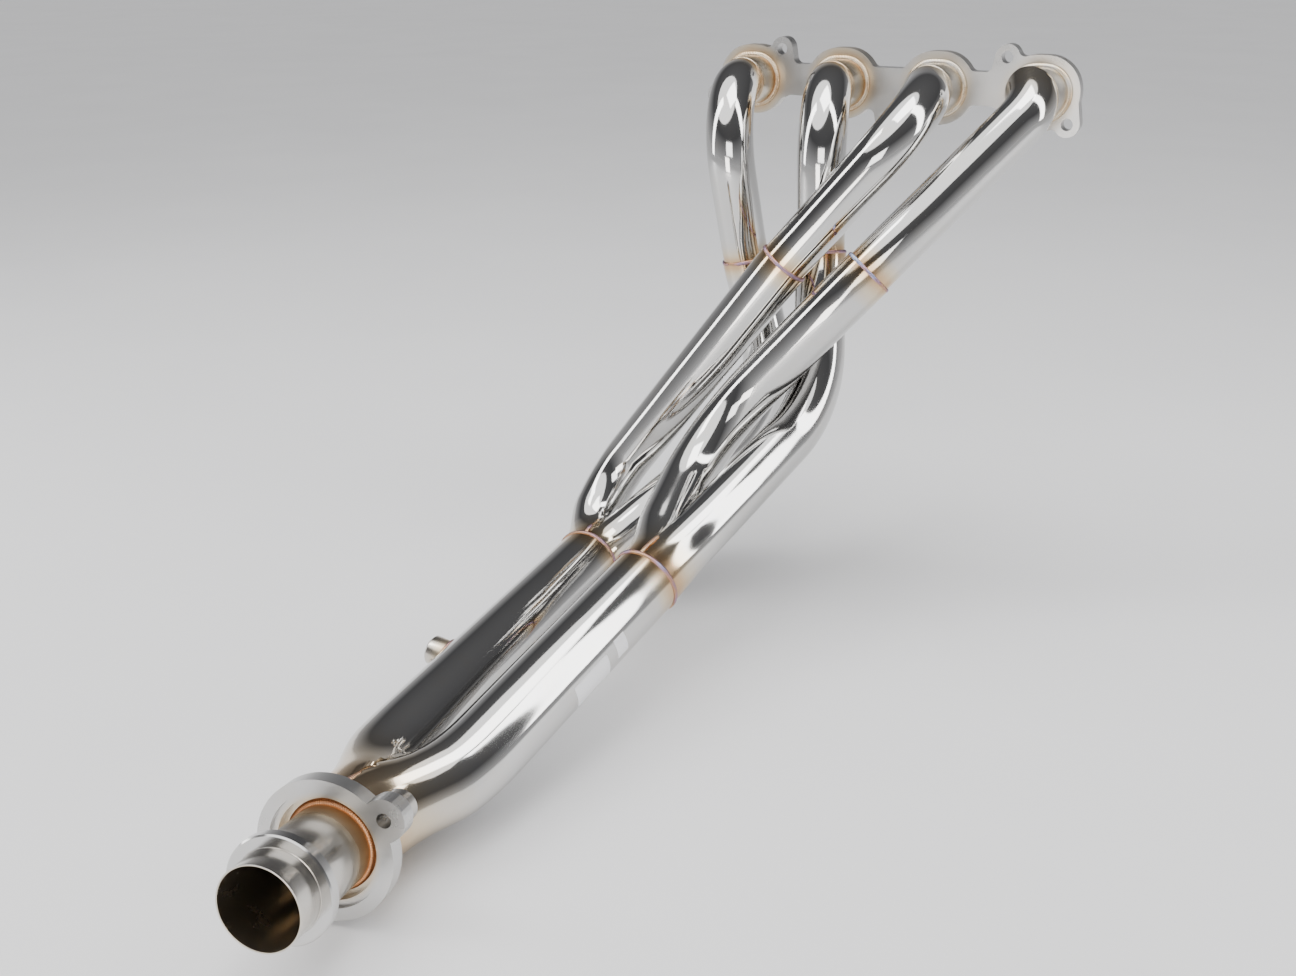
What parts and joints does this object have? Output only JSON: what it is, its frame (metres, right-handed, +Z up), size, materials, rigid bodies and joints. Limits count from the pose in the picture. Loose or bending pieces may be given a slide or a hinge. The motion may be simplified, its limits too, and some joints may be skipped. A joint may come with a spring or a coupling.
{
  "type": "exhaust manifold",
  "caption": "Tubular exhaust manifold for an inline engine: primaries from a ported head flange merge in pairs into secondaries and end in a bolted outlet with a collared spigot.",
  "frame": {"origin": "centre of the head flange's mounting face, on the line through the port centres", "axes": "+Y out of the mounting face towards the cylinder head, +X along the ports from port 1 to port 4, +Z up"},
  "size_m": [0.3891, 0.8047, 0.4979],
  "materials": {
    "polished_tube": "mirror-polished stainless steel",
    "flange_plate": "satin, fine brushed, heat-tinted near the welds",
    "port_stub": "dull polish with straw heat tint",
    "weld_bead": "rippled bead, straw to purple heat tint",
    "turned_steel": "bright turned",
    "outlet_bead": "rippled bead, copper heat tint"
  },
  "bodies": {
    "root": {"head_flange": "flange_plate", "outlet_flange": "flange_plate", "port_stub_1": "port_stub", "port_stub_2": "port_stub", "port_stub_3": "port_stub", "port_stub_4": "port_stub", "upper_primary_1": "polished_tube", "upper_primary_2": "polished_tube", "upper_primary_3": "polished_tube", "upper_primary_4": "polished_tube", "lower_primary_1": "polished_tube", "lower_primary_2": "polished_tube", "lower_primary_3": "polished_tube", "lower_primary_4": "polished_tube", "secondary_left": "polished_tube", "secondary_right": "polished_tube", "collector": "polished_tube", "port_weld_1": "weld_bead", "port_weld_2": "weld_bead", "port_weld_3": "weld_bead", "port_weld_4": "weld_bead", "step_weld_1": "weld_bead", "step_weld_2": "weld_bead", "step_weld_3": "weld_bead", "step_weld_4": "weld_bead", "merge_weld_left": "weld_bead", "merge_weld_right": "weld_bead", "oxygen_bung_weld": "weld_bead", "outlet_nuts": "turned_steel", "outlet_spigot": "turned_steel", "spigot_collar": "turned_steel", "oxygen_bung": "turned_steel", "outlet_weld": "outlet_bead"}
  },
  "joints": []
}
